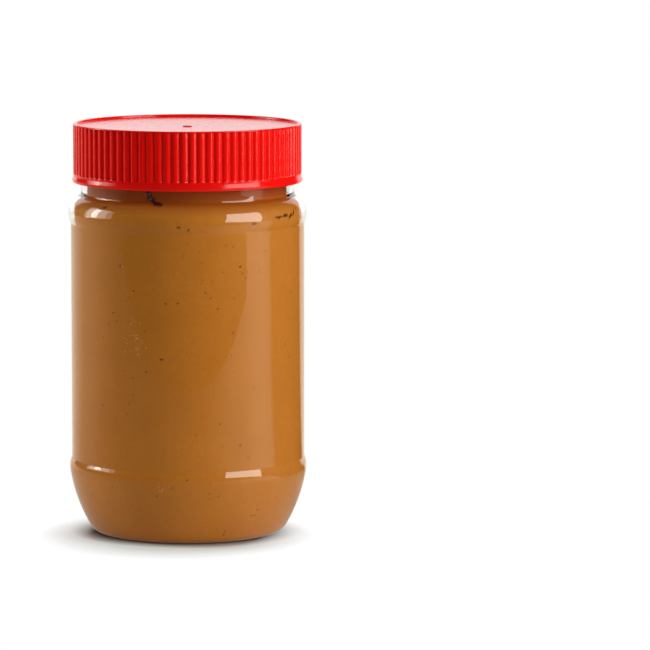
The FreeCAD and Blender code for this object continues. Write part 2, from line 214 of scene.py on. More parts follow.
def jar_section(inset, neck):
    """Points from the axis under the jar, round the foot and bowl, up to the straight neck."""
    heel, bowl = HEEL_ROUND - inset, BOWL_ROUND - inset
    lower, shoulder = LOWER_ROUND - inset, SHOULDER_ROUND - inset
    crease, fillet = CREASE_ROUND + inset, NECK_FILLET + inset
    panel_radius = RING_RADIUS - PANEL_DEPTH
    foot_inner = FOOT_RADIUS - FOOT_WIDTH

    heel_at = (FOOT_RADIUS, HEEL_ROUND)
    lower_at = (RING_RADIUS - LOWER_ROUND, LOWER_RING_HEIGHT)
    upper_at = (RING_RADIUS - SHOULDER_ROUND, UPPER_RING_HEIGHT)
    bowl_at = circle_meeting(lower_at, bowl - lower, heel_at, bowl - heel)
    crease_across = panel_radius + CREASE_ROUND

    def crease_at(ring_at, ring_round, side):
        """The centre of the round between the panel and the ring above or below it."""
        rise = math.sqrt((ring_round + crease) ** 2 - (crease_across - ring_at[0]) ** 2)
        return (crease_across, ring_at[1] + side * rise)

    low_crease = crease_at(lower_at, lower, 1)
    high_crease = crease_at(upper_at, shoulder, -1)
    neck_rise = math.sqrt((shoulder + fillet) ** 2 - (neck + fillet - upper_at[0]) ** 2)
    neck_at = (neck + fillet, upper_at[1] + neck_rise)

    dome_radius = (foot_inner**2 + PUSH_UP**2) / (2 * PUSH_UP)
    dome_at = (0.0, PUSH_UP + inset - dome_radius)
    dome_edge = bearing(dome_at, (foot_inner, inset))
    heel_end, bowl_end = bearing(bowl_at, heel_at), bearing(bowl_at, lower_at)
    lower_end, upper_begin = bearing(lower_at, low_crease), bearing(upper_at, high_crease)
    upper_end = bearing(upper_at, neck_at)

    points = arc(dome_at, dome_radius, 90, dome_edge, steps=14)
    points += run(points[-1], (FOOT_RADIUS, inset), steps=2)
    points += arc(heel_at, heel, -90, heel_end, steps=10)[1:]
    points += arc(bowl_at, bowl, heel_end, bowl_end, steps=16)[1:]
    points += arc(lower_at, lower, bowl_end, lower_end, steps=14)[1:]
    points += arc(low_crease, crease, 180 + lower_end, 180, steps=6)[1:]
    points += run(points[-1], (panel_radius - inset, high_crease[1]), steps=24)
    points += arc(high_crease, crease, 180, 180 + upper_begin, steps=6)[1:]
    points += arc(upper_at, shoulder, upper_begin, upper_end, steps=22)[1:]
    points += arc(neck_at, fillet, 180 + upper_end, 180, steps=8)[1:]
    return points


# ----------------------------------------------------------------------------------------------
# Shader nodes
# ----------------------------------------------------------------------------------------------


def new_material(name):
    """A material, its cleared node tree, and the input that takes its surface."""
    material = bpy.data.materials.new(name)
    material.use_nodes = True
    tree = material.node_tree
    tree.nodes.clear()
    return material, tree, tree.nodes.new("ShaderNodeOutputMaterial").inputs["Surface"]


def feed(tree, socket, value):
    """Link an input to an output, or set it to a number, a vector or an opaque colour."""
    if isinstance(value, bpy.types.NodeSocket):
        tree.links.new(value, socket)
    elif socket.type == "RGBA":
        socket.default_value = (*value, 1.0)
    else:
        socket.default_value = value


def add_node(tree, kind, inputs=None, operation=None):
    """A new node's outputs; its inputs, by name or number, are set or linked."""
    node = tree.nodes.new(kind)
    if operation:
        node.operation = operation
    for key, value in (inputs or {}).items():
        feed(tree, node.inputs[key], value)
    return node.outputs


def add_math(tree, operation, *values):
    """A Math node's result; each value is a number or an output."""
    return add_node(tree, "ShaderNodeMath", dict(enumerate(values)), operation)[0]


def vector_math(tree, operation, *vectors):
    """A Vector Math node's result, which is a number for a length or a distance."""
    outputs = add_node(tree, "ShaderNodeVectorMath", dict(enumerate(vectors)), operation)
    return outputs["Value" if operation in ("LENGTH", "DISTANCE") else "Vector"]


def map_range(tree, value, source, target=(0.0, 1.0)):
    """Map a value from one range to another, held at both ends."""
    inputs = {"Value": value, "From Min": source[0], "From Max": source[1]}
    inputs.update({"To Min": target[0], "To Max": target[1]})
    return add_node(tree, "ShaderNodeMapRange", inputs)["Result"]


def mix_colour(tree, share, first, second):
    """Mix two colours, each given as numbers or as an output."""
    node = tree.nodes.new("ShaderNodeMix")
    node.data_type = "RGBA"
    # this node's colours are its inputs 6 and 7, and its output 2
    for key, value in ((0, share), (6, first), (7, second)):
        feed(tree, node.inputs[key], value)
    return node.outputs[2]


def mix_shader(tree, share, first, second):
    """The first shader where the share is 0, the second where it is 1."""
    return add_node(tree, "ShaderNodeMixShader", {0: share, 1: first, 2: second})[0]


def add_noise(tree, where, scale, detail, roughness=0.5):
    """Noise of a scale in cycles per metre, most of it within NOISE_RANGE."""
    inputs = {"Vector": where, "Scale": scale, "Detail": detail, "Roughness": roughness}
    return add_node(tree, "ShaderNodeTexNoise", inputs)["Fac"]


def add_bump(tree, where, scale, detail, strength, depth):
    """A normal that noise disturbs."""
    height = add_noise(tree, where, scale, detail)
    inputs = {"Strength": strength, "Distance": depth, "Height": height}
    return add_node(tree, "ShaderNodeBump", inputs)["Normal"]


def own_place(tree):
    """A point's place in the frame, in metres."""
    return add_node(tree, "ShaderNodeTexCoord")["Object"]


def along_axes(tree, vector):
    """A vector's X, Y and Z."""
    return add_node(tree, "ShaderNodeSeparateXYZ", {0: vector})


def seen_straight(tree):
    """1 for what the camera sees directly or through clear plastic, else 0."""
    path = add_node(tree, "ShaderNodeLightPath")
    return add_math(tree, "MAXIMUM", path["Is Camera Ray"], path["Is Transmission Ray"])


# ----------------------------------------------------------------------------------------------
# Materials; colours are in linear light
# ----------------------------------------------------------------------------------------------

NOISE_RANGE = (0.3, 0.7)
HORIZONTAL = (1.0, 1.0, 0.0)  # times a vector, leaves the part of it that lies level

POLYESTER_IOR = 1.57
POLYPROPYLENE_IOR = 1.49
SPREAD_IOR = 1.47

PLASTIC_TINT = (1.0, 0.995, 0.985)
HAZE_RANGE = (0.35, 0.7)
HAZE_ROUGHNESS = (0.0, 0.03)
RED_TONES = ((0.9, 0.005, 0.003), (0.95, 0.007, 0.004))
RED_ROUGHNESS = (0.12, 0.16)
RED_SPECULAR = 0.36
PANEL_DULLNESS = 0.04  # more roughness on the panel inside the lid's rim
SPREAD_TONES = ((0.53, 0.177, 0.018), (0.58, 0.198, 0.023))
SPREAD_ROUGHNESS = (0.32, 0.5)
SPREAD_SPECULAR = 0.1
GRAIN_TONE = (0.46, 0.147, 0.013)
GRAIN_SHARE = 0.4  # the most that the grain's tone is mixed in
LUMP_TONE = (0.5, 0.155, 0.013)
LUMP_RANGE = (0.42, 0.62)
LUMP_SHARE = 0.34
# painted shade: the lid's shadow on the spread in the neck, reddened by the lid's bounced light
NECK_SHADE_TONE = (0.36, 0.064, 0.006)
NECK_SHADE_LEVELS = (119.5 * MM, 125.5 * MM)  # over which painted shade from the lid, reddened by light bounced from it, darkens the spread into the neck
# painted shade in the hollows of the spread
HOLLOW_SHADE_TONE = (0.035, 0.012, 0.004)
SKIN_TONES = ((0.17, 0.052, 0.008), (0.33, 0.1, 0.013))
SKIN_ROUGHNESS = 0.5
BUBBLE_TONES = ((0.62, 0.25, 0.05), (0.74, 0.36, 0.11))
BUBBLE_ROUGHNESS = 0.35
GRIT_SPECULAR = 0.2


def clear_plastic():
    """Clear polyester: refracting to the eye, open to lamps and to light bounced from inside."""
    material, tree, surface = new_material("clear_plastic")
    where = own_place(tree)
    haze = add_noise(tree, where, scale=120.0, detail=3.0)
    inputs = {
        "Base Color": PLASTIC_TINT,
        "Transmission Weight": 1.0,
        "IOR": POLYESTER_IOR,
        "Roughness": map_range(tree, haze, HAZE_RANGE, HAZE_ROUGHNESS),
        "Normal": add_bump(tree, where, scale=90.0, detail=1.0, strength=0.25, depth=0.04 * MM),
    }
    plastic = add_node(tree, "ShaderNodeBsdfPrincipled", inputs)[0]
    open_way = add_node(tree, "ShaderNodeBsdfTransparent")[0]
    path = add_node(tree, "ShaderNodeLightPath")
    inside = mix_shader(tree, path["Is Diffuse Ray"], plastic, open_way)
    feed(tree, surface, mix_shader(tree, path["Is Shadow Ray"], inside, open_way))
    return material


def red_plastic():
    """Glossy red polypropylene with a faint moulded texture, duller on the panel in its rim."""
    material, tree, surface = new_material("lid_plastic")
    where = own_place(tree)
    flow = map_range(tree, add_noise(tree, where, scale=70.0, detail=3.0), NOISE_RANGE)
    reach = vector_math(tree, "LENGTH", vector_math(tree, "MULTIPLY", where, HORIZONTAL))
    panel_edge = (RIM_INNER - 0.3 * MM, RIM_INNER - 0.1 * MM)
    dull = map_range(tree, reach, panel_edge, (PANEL_DULLNESS, 0.0))
    fine = add_noise(tree, where, scale=500.0, detail=2.0)
    gloss = map_range(tree, fine, NOISE_RANGE, RED_ROUGHNESS)
    inputs = {
        "Base Color": mix_colour(tree, flow, *RED_TONES),
        "Roughness": add_math(tree, "ADD", gloss, dull),
        "IOR": POLYPROPYLENE_IOR,
        "Specular IOR Level": RED_SPECULAR,
        "Normal": add_bump(tree, where, scale=160.0, detail=1.0, strength=0.1, depth=0.02 * MM),
    }
    feed(tree, surface, add_node(tree, "ShaderNodeBsdfPrincipled", inputs)[0])
    return material


def peanut_butter():
    """Smooth peanut butter: a warm tan that varies softly, with fine grain, painted shade in its
    hollows, and the lid's painted shade, reddened, in the neck.
    """
    material, tree, surface = new_material("peanut_butter")
    where = own_place(tree)
    clouds = map_range(tree, add_noise(tree, where, scale=45.0, detail=3.0), NOISE_RANGE)
    fine = add_noise(tree, where, scale=1500.0, detail=3.0, roughness=0.6)
    grain = map_range(tree, fine, NOISE_RANGE)
    lumps = add_noise(tree, where, scale=420.0, detail=4.0, roughness=0.65)
    # share of the painted shade of the lid over the spread in the neck, by height
    neck = map_range(tree, along_axes(tree, where)["Z"], NECK_SHADE_LEVELS)
    hollow = tree.nodes.new("ShaderNodeAttribute")
    hollow.attribute_name = "hollow"
    colour = mix_colour(tree, clouds, *SPREAD_TONES)
    share = map_range(tree, grain, (0.0, 1.0), (0.0, GRAIN_SHARE))
    colour = mix_colour(tree, share, colour, GRAIN_TONE)
    share = map_range(tree, lumps, LUMP_RANGE, (0.0, LUMP_SHARE))
    colour = mix_colour(tree, share, colour, LUMP_TONE)
    # painted shade of the lid, reddened by its bounced light, over the spread in the neck
    colour = mix_colour(tree, neck, colour, NECK_SHADE_TONE)
    # painted shade in the spread's hollows, read from the hollow attribute
    colour = mix_colour(tree, hollow.outputs["Fac"], colour, HOLLOW_SHADE_TONE)
    inputs = {
        "Base Color": colour,
        "Roughness": map_range(tree, grain, (0.0, 1.0), SPREAD_ROUGHNESS),
        "IOR": SPREAD_IOR,
        "Specular IOR Level": SPREAD_SPECULAR,
        "Normal": add_bump(tree, where, scale=900.0, detail=3.0, strength=0.3, depth=0.08 * MM),
    }
    feed(tree, surface, add_node(tree, "ShaderNodeBsdfPrincipled", inputs)[0])
    return material


def grit(name, tones, roughness):
    """What is mixed into the spread: two near colours that vary from grain to grain."""
    material, tree, surface = new_material(name)
    tone = map_range(tree, add_noise(tree, own_place(tree), scale=320.0, detail=2.0), NOISE_RANGE)
    inputs = {
        "Base Color": mix_colour(tree, tone, *tones),
        "Roughness": roughness,
        "Specular IOR Level": GRIT_SPECULAR,
    }
    feed(tree, surface, add_node(tree, "ShaderNodeBsdfPrincipled", inputs)[0])
    return material


CLEAR = clear_plastic()
RED = red_plastic()
SPREAD = peanut_butter()
SKINS = grit("peanut_skin", SKIN_TONES, SKIN_ROUGHNESS)
BUBBLES = grit("air_bubble", BUBBLE_TONES, BUBBLE_ROUGHNESS)

# ----------------------------------------------------------------------------------------------
# The jar
# ----------------------------------------------------------------------------------------------

JAR_AROUND = 320


def make_jar():
    """The shell as one closed skin, up its outside, over the mouth and down its inside."""
    outer = jar_section(0.0, NECK_RADIUS)
    inner = jar_section(WALL, MOUTH_BORE)
    round_height = MOUTH_HEIGHT - MOUTH_ROUND
    outer_round = arc((NECK_RADIUS - MOUTH_ROUND, round_height), MOUTH_ROUND, 0, 90, steps=5)
    inner_round = arc((MOUTH_BORE + MOUTH_ROUND, round_height), MOUTH_ROUND, 90, 180, steps=5)
    section = outer + run(outer[-1], outer_round[0], steps=10) + outer_round[1:] + inner_round
    section += run(inner_round[-1], inner[-1], steps=10) + inner[-2::-1]
    turns = full_circle(JAR_AROUND)
    rings = [ring(turns, radius, height) for radius, height in section[1:-1]]
    vertices, faces = lathe(rings, section[0][1], section[-1][1])
    add_piece("jar_shell", vertices, faces, CLEAR, "jar")


make_jar()

# ----------------------------------------------------------------------------------------------
# The peanut butter
# ----------------------------------------------------------------------------------------------

EMBED = 0.1 * MM  # how far the spread reaches into the wall
SPREAD_NECK = MOUTH_BORE + EMBED
SPREAD_ROUND = 1.0 * MM  # round of its upper edge
SPREAD_ROUND_STEPS = 4
SPREAD_AROUND = 720
TOP_SHARE = 0.9  # inside this share of the neck's radius the spread is plainly turned

# Hollows against the wall: azimuth in degrees to the right of the front, height, half length, half
# width, tilt in degrees, and depth
HOLLOWS = [
    (-19.5, 128.4, 1.9, 0.8, 92, 0.08),
    (-19.0, 126.4, 1.5, 0.95, 105, 0.08),
    (-17.4, 125.0, 1.5, 0.9, 138, 0.08),
    (-14.8, 123.9, 1.7, 0.75, 158, 0.08),
    (-12.5, 123.4, 0.9, 0.5, 195, 0.08),
    (51.0, 118.0, 2.2, 0.36, 2, 0.08),
    (56.5, 118.3, 1.7, 0.52, 10, 0.08),
    (61.0, 118.0, 1.6, 0.5, 24, 0.08),
    (64.5, 118.9, 1.3, 0.38, 48, 0.08),
    (68.0, 119.9, 1.1, 0.22, 78, 0.08),
    (-43.8, 121.6, 1.2, 0.3, 18, 0.08),
    (35.6, 116.7, 1.3, 0.3, 6, 0.08),
    (18.0, 111.3, 1.5, 0.22, 5, 0.04),
    (-2.4, 116.0, 0.7, 0.4, -38, 0.08),
    (2.3, 115.2, 0.32, 0.45, 5, 0.08),
    (112.0, 119.5, 2.4, 0.5, 15, 0.08),
    (150.0, 124.8, 1.8, 0.6, 110, 0.08),
    (-128.0, 117.4, 2.6, 0.4, -10, 0.08),
    (-95.0, 121.8, 1.4, 0.4, 60, 0.08),
    (-162.0, 113.6, 1.2, 0.3, 12, 0.08),
]
HOLLOW_EDGE = 1.35  # where a hollow ends, as a share of its half size
HOLLOW_SHADE_EDGE = 1.3  # where its painted shade ends
HOLLOW_SHADE_RISE = 1.6
HOLLOW_BEND = 0.25  # sideways wobble, as a share of the half width
HOLLOW_BENDS = 2.1  # radians of it to the millimetre

# Where the spread stands off the wall: azimuth of the middle, half the span, and the foot's height
DRY_PATCHES = [(-100.0, 31.0, 113.5), (104.0, 34.0, 114.5)]
DRY_GAP = 1.5 * MM
DRY_FOOT_EASE = 2.0  # millimetres over which a patch deepens from its foot
DRY_SIDE_EASE = 0.05  # radians over which it deepens from its side
DRY_WOBBLE = 0.03  # radians that its sides wander
DRY_WAVES = [(9, 0.5, 0.4), (23, 0.3, 2.0)]  # waves round the jar, size and phase
WAIST_DEPTH = 0.09  # radians that a patch narrows by at the shoulder
WAIST_LEVELS = (118.5, 125.0)  # between these heights
WAIST_EASE = 3.0


def wrapped(angles):
    """Angles brought to between minus pi and pi."""
    return np.mod(angles + math.pi, 2 * math.pi) - math.pi


def wave(turn, parts):
    """A smooth periodic wobble round the axis, about -1 to 1."""
    return sum(size * np.sin(count * turn + phase) for count, size, phase in parts)


def spread_surface(radius, height, turns):
    """Radius of the spread all round at one height, and the share of painted shade in its hollows
    there, from 0 to 1.
    """
    inward = np.zeros(len(turns))
    level = height / MM
    for middle, half_span, foot in DRY_PATCHES:
        off = np.abs(wrapped(turns - azimuth_turn(middle)))
        edge = math.radians(half_span) + DRY_WOBBLE * wave(turns, DRY_WAVES)
        waist = WAIST_DEPTH * smooth_step((level - WAIST_LEVELS[0]) / WAIST_EASE)
        edge = edge - waist * smooth_step((WAIST_LEVELS[1] - level) / WAIST_EASE)
        side = smooth_step((edge - off) / DRY_SIDE_EASE)
        rise = smooth_step((level - foot) / DRY_FOOT_EASE)
        inward = inward + DRY_GAP * side * rise
    # share of painted shade in the hollows
    hollow = np.zeros(len(turns))
    for azimuth, middle, half_length, half_width, tilt, depth in HOLLOWS:
        across = wrapped(turns - azimuth_turn(azimuth)) * radius
        up = height - middle * MM
        lean = math.radians(tilt)
        along = across * math.cos(lean) + up * math.sin(lean)
        beside = up * math.cos(lean) - across * math.sin(lean)
        bend = HOLLOW_BEND * half_width * MM
        beside = beside + bend * np.sin(along / MM * HOLLOW_BENDS + azimuth)
        reach = np.hypot(along / (half_length * MM), beside / (half_width * MM))
        inward = inward + smooth_step(HOLLOW_EDGE - reach) * depth * MM
        shade = smooth_step((HOLLOW_SHADE_EDGE - reach) * HOLLOW_SHADE_RISE)
        hollow = np.maximum(hollow, shade)
    return radius - inward, hollow


def spread_skin():
    """The spread's half section against the wall, from the axis under it up to its rounded rim."""
    round_height = FILL_LEVEL - SPREAD_ROUND
    section = jar_section(WALL - EMBED, SPREAD_NECK)
    section += run(section[-1], (SPREAD_NECK, round_height), steps=36)
    centre = (SPREAD_NECK - SPREAD_ROUND, round_height)
    return section + arc(centre, SPREAD_ROUND, 0, 90, SPREAD_ROUND_STEPS)[1:]


def make_spread():
    """The spread as one closed skin, with the painted shade of its hollows kept as an attribute."""
    section = spread_skin()
    section += run(section[-1], (0.0, FILL_LEVEL), steps=8)[:-1]
    turns = full_circle(SPREAD_AROUND)
    rings, hollow_shades = [], [np.zeros(1)]
    for radius, height in section[1:]:
        reach, hollow = spread_surface(radius, height, turns)
        if radius < TOP_SHARE * SPREAD_NECK:
            reach, hollow = radius, hollow * 0
        rings.append(ring(turns, reach, height))
        hollow_shades.append(hollow)
    hollow_shades.append(np.zeros(1))
    vertices, faces = lathe(rings, section[0][1], FILL_LEVEL)
    piece = add_piece("spread", vertices, faces, SPREAD, "peanut_butter")
    # the painted shade of the hollows, kept as the hollow attribute
    shade = piece.data.attributes.new("hollow", "FLOAT", "POINT")
    shade.data.foreach_set("value", np.concatenate(hollow_shades).astype(np.float32))


make_spread()

# ----------------------------------------------------------------------------------------------
# Ground skins of peanut and small air bubbles that show against the wall; sizes in millimetres
# ----------------------------------------------------------------------------------------------

# Skins that stand out on the front: azimuth, height, half length and tilt
SHOWN_SKINS = [
    (8.5, 103.2, 0.4, 20), (9.0, 97.0, 0.45, 60), (14.0, 96.5, 0.4, 0), (10.6, 92.3, 0.6, -20),
    (13.0, 90.4, 0.5, 40), (16.5, 86.5, 0.5, 10), (24.2, 77.6, 0.55, 30), (29.3, 99.0, 0.45, 0),
    (32.0, 99.2, 0.4, 70), (43.0, 106.3, 0.45, 15), (60.9, 66.4, 0.5, 0), (-32.8, 101.4, 0.6, 35),
    (-25.5, 92.7, 0.55, 0), (-37.2, 84.2, 0.6, 10), (-8.8, 88.5, 0.6, -10), (-3.0, 88.6, 0.65, 15),
    (-10.9, 68.3, 0.8, 5), (-18.9, 63.7, 0.5, 60), (-25.7, 55.0, 0.45, 20), (-44.5, 50.0, 0.5, 0),
    (28.0, 36.5, 0.5, 40), (35.0, 66.0, 0.45, -30), (57.5, 71.5, 0.6, 80), (12.5, 17.5, 0.5, -20),
    (37.0, 10.0, 0.5, 30), (22.6, 4.6, 0.5, 80), (22.2, 3.4, 0.6, 95), (-13.6, 18.6, 0.55, 85),
]
SHOWN_WIDTH = 0.62  # share of a shown skin's length
SCATTERED_SKINS = 240
SCATTERED_HEIGHTS = (8.0, 112.0)
SCATTERED_LENGTHS = (0.26, 0.3)  # the least half length, and the most that is added
SCATTERED_WIDTHS = (0.4, 0.8)
SKIN_PROUD = 0.05
SKIN_SEED = 11

# Clusters of bubbles: azimuth, height, spread across and up, and count
BUBBLE_CLUSTERS = [
    (-24.0, 75.5, 3.6, 6.0, 38), (-23.2, 69.7, 0.5, 0.4, 4), (-31.6, 101.5, 1.0, 0.7, 4),
    (-26.0, 92.3, 0.8, 0.6, 3), (-11.7, 21.0, 1.3, 1.1, 9), (41.0, 103.0, 1.2, 2.4, 6),
    (118.0, 64.0, 3.0, 3.6, 20), (-140.0, 48.0, 2.4, 3.0, 16), (165.0, 95.0, 1.8, 1.4, 8),
]
BUBBLE_SIZES = (0.14, 0.34)
BUBBLE_PROUD = 0.06
BUBBLE_SEED = 23
CLUSTER_SPREAD = 0.5  # standard deviation, as a share of a cluster's spread

LENS_SIDES = 9
LENS_UNEVENNESS = (0.78, 1.15)
# a lens from its middle outside to its middle inside: share of its half size, and of its height
LENS_PROFILE = ((0.0, 1.0), (0.55, 0.8), (1.0, -0.1), (0.55, -1.0), (0.0, -1.2))

# the spread's stretch against the wall, from within its heel up to below its rounded rim
HEEL_POINT = 20
SKIN_REACHES, SKIN_LEVELS = np.array(spread_skin()[HEEL_POINT:-SPREAD_ROUND_STEPS]).T


def lens(azimuth, height, half_long, half_wide, tilt, proud, draws):
    """A closed, slightly uneven lens on the spread's skin."""
    sides = LENS_SIDES
    lean = math.radians(tilt)
    uneven = [draws.uniform(*LENS_UNEVENNESS) for _ in range(sides)]
    vertices = []
    for share, rise in LENS_PROFILE:
        for side in range(sides if share else 1):
            around = 2 * math.pi * side / sides
            along = half_long * share * uneven[side] * math.cos(around)
            beside = half_wide * share * uneven[side] * math.sin(around)
            across = along * math.cos(lean) - beside * math.sin(lean)
            level = (height + along * math.sin(lean) + beside * math.cos(lean)) * MM
            reach = float(np.interp(level, SKIN_LEVELS, SKIN_REACHES))
            turn = azimuth_turn(azimuth) + across * MM / reach
            surface, _ = spread_surface(reach, level, np.array([turn]))
            reach = float(surface[0]) + rise * proud * MM
            vertices.append((reach * math.cos(turn), reach * math.sin(turn), level))
    faces = []
    for i in range(sides):
        j = (i + 1) % sides
        faces.append((0, 1 + i, 1 + j))
        for low, high in ((1, 1 + sides), (1 + sides, 1 + 2 * sides)):
            faces.append((low + i, high + i, high + j, low + j))
        faces.append((1 + 2 * sides + i, len(vertices) - 1, 1 + 2 * sides + j))
    return vertices, faces


def join_lenses(name, lenses, material):
    """One piece of many lenses, each a closed mesh of its own."""
    vertices, faces = [], []
    for points, sides in lenses:
        faces += [tuple(index + len(vertices) for index in face) for face in sides]
        vertices += points
    add_piece(name, vertices, faces, material)


def make_skins():
    """The skins that the front shows, and finer ones all round."""
    draws = random.Random(SKIN_SEED)
    lenses = [
        lens(azimuth, height, long, SHOWN_WIDTH * long, tilt, SKIN_PROUD, draws)
        for azimuth, height, long, tilt in SHOWN_SKINS
    ]
    least, more = SCATTERED_LENGTHS
    for _ in range(SCATTERED_SKINS):
        long = least + more * draws.random() ** 2
        azimuth = draws.uniform(-180, 180)
        height = draws.uniform(*SCATTERED_HEIGHTS)
        wide = long * draws.uniform(*SCATTERED_WIDTHS)
        tilt = draws.uniform(-90, 90)
        lenses.append(lens(azimuth, height, long, wide, tilt, SKIN_PROUD, draws))
    join_lenses("peanut_skins", lenses, SKINS)


def make_bubbles():
    """Round bubbles, scattered about the middle of each cluster."""
    draws = random.Random(BUBBLE_SEED)
    lenses = []
    for middle, level, across, up, count in BUBBLE_CLUSTERS:
        for _ in range(count):
            aside = draws.gauss(0.0, CLUSTER_SPREAD) * across * MM
            azimuth = middle + math.degrees(aside / RING_RADIUS)
            size = draws.uniform(*BUBBLE_SIZES)
            height = level + draws.gauss(0.0, CLUSTER_SPREAD) * up
            lenses.append(lens(azimuth, height, size, size, 0.0, BUBBLE_PROUD, draws))
    join_lenses("air_bubbles", lenses, BUBBLES)


make_skins()
make_bubbles()

# ----------------------------------------------------------------------------------------------
# The lid
# ----------------------------------------------------------------------------------------------

POINTS_PER_RIB = 20
FLUTE_CROWDING = 0.65  # how much closer the points stand at a flute's sharp bottom
BAND_ROW = 0.2 * MM  # how far a row lies above the middle of the band's upright top
RIB_ROWS = 60
RIB_SHELF = 0.03 * MM  # height over which the flutes run out
RIB_MARGIN = 0.3 * MM  # from the flutes' ends to the first and last of those rows
BORE_LIP = 0.3 * MM
PANEL_FOOT_ROUND = 0.25 * MM
PANEL_ROWS = (0.9, 0.6, 0.3)  # where the dished panel has rows, as shares of the rim's inside
GATE_ROWS = (0.8 * MM, 0.4 * MM, 0.15 * MM)  # and how far outside the gate mark
GATE_FOOT = 0.1 * MM  # height of the gate mark's upright foot
GATE_DRAFT = 0.05 * MM
GATE_ROUND = (0.15 * MM, 0.08 * MM)  # across and down, at its top
GATE_MIDDLE = 0.4 * MM
SINK = 0.022 * MM  # depth of the faint sinks round the ribs
SINK_LEVELS = (2.4, 11.4, 16.0)  # millimetres below the rim at which the wall stands proud
SINK_REACH = 0.9  # millimetres over which it does
SHARP_ANGLE = 50  # degrees between faces that shade as an edge


def eased(before, corner, after, radius, count=6):
    """The round that replaces a corner of an outline, as points from first to last."""
    back, on = np.subtract(before, corner), np.subtract(after, corner)
    back, on = back / np.linalg.norm(back), on / np.linalg.norm(on)
    half = math.acos(float(back @ on)) / 2
    middle = (back + on) / np.linalg.norm(back + on)
    centre = np.add(corner, middle * radius / math.sin(half))
    first = np.add(corner, back * radius / math.tan(half)) - centre
    last = np.add(corner, on * radius / math.tan(half)) - centre
    steps = [first + (last - first) * t for t in np.linspace(0.0, 1.0, count)]
    return [tuple(centre + step * radius / np.linalg.norm(step)) for step in steps]


def flute_depths():
    """Angles along one pitch from the middle of a flute, and the depth of the flute there."""
    pitch = 2 * math.pi * CREST_RADIUS / RIB_COUNT
    hollow = (RIB_DEPTH - FLUTE_ROUND, 0.0)  # centre, as depth below the crests and offset
    crest = (CREST_ROUND, (pitch - CREST_LAND) / 2)
    span = math.dist(hollow, crest)
    lean = math.atan2(crest[1] - hollow[1], hollow[0] - crest[0])
    lean += math.acos((FLUTE_ROUND + CREST_ROUND) / span)
    foot = (hollow[0] - FLUTE_ROUND * math.cos(lean), FLUTE_ROUND * math.sin(lean))
    head = (crest[0] + CREST_ROUND * math.cos(lean), crest[1] - CREST_ROUND * math.sin(lean))
    angles, depths = [], []
    for i in range(POINTS_PER_RIB):
        place = 2 * i / POINTS_PER_RIB - 1.0
        crowded = FLUTE_CROWDING * place * abs(place)
        offset = ((1.0 - FLUTE_CROWDING) * place + crowded) * pitch / 2
        side = abs(offset)
        if side <= foot[1]:
            depth = hollow[0] + math.sqrt(FLUTE_ROUND**2 - side**2)
        elif side <= head[1]:
            depth = foot[0] + (head[0] - foot[0]) * (side - foot[1]) / (head[1] - foot[1])
        elif side <= crest[1]:
            depth = crest[0] - math.sqrt(CREST_ROUND**2 - (side - crest[1]) ** 2)
        else:
            depth = 0.0
        angles.append(offset / CREST_RADIUS)
        depths.append(depth)
    return np.array(angles), np.array(depths)


def plain(points):
    """Rows of the lid, each a radius and a height, that show nothing of the flutes."""
    return [(radius, height, 0.0) for radius, height in points]


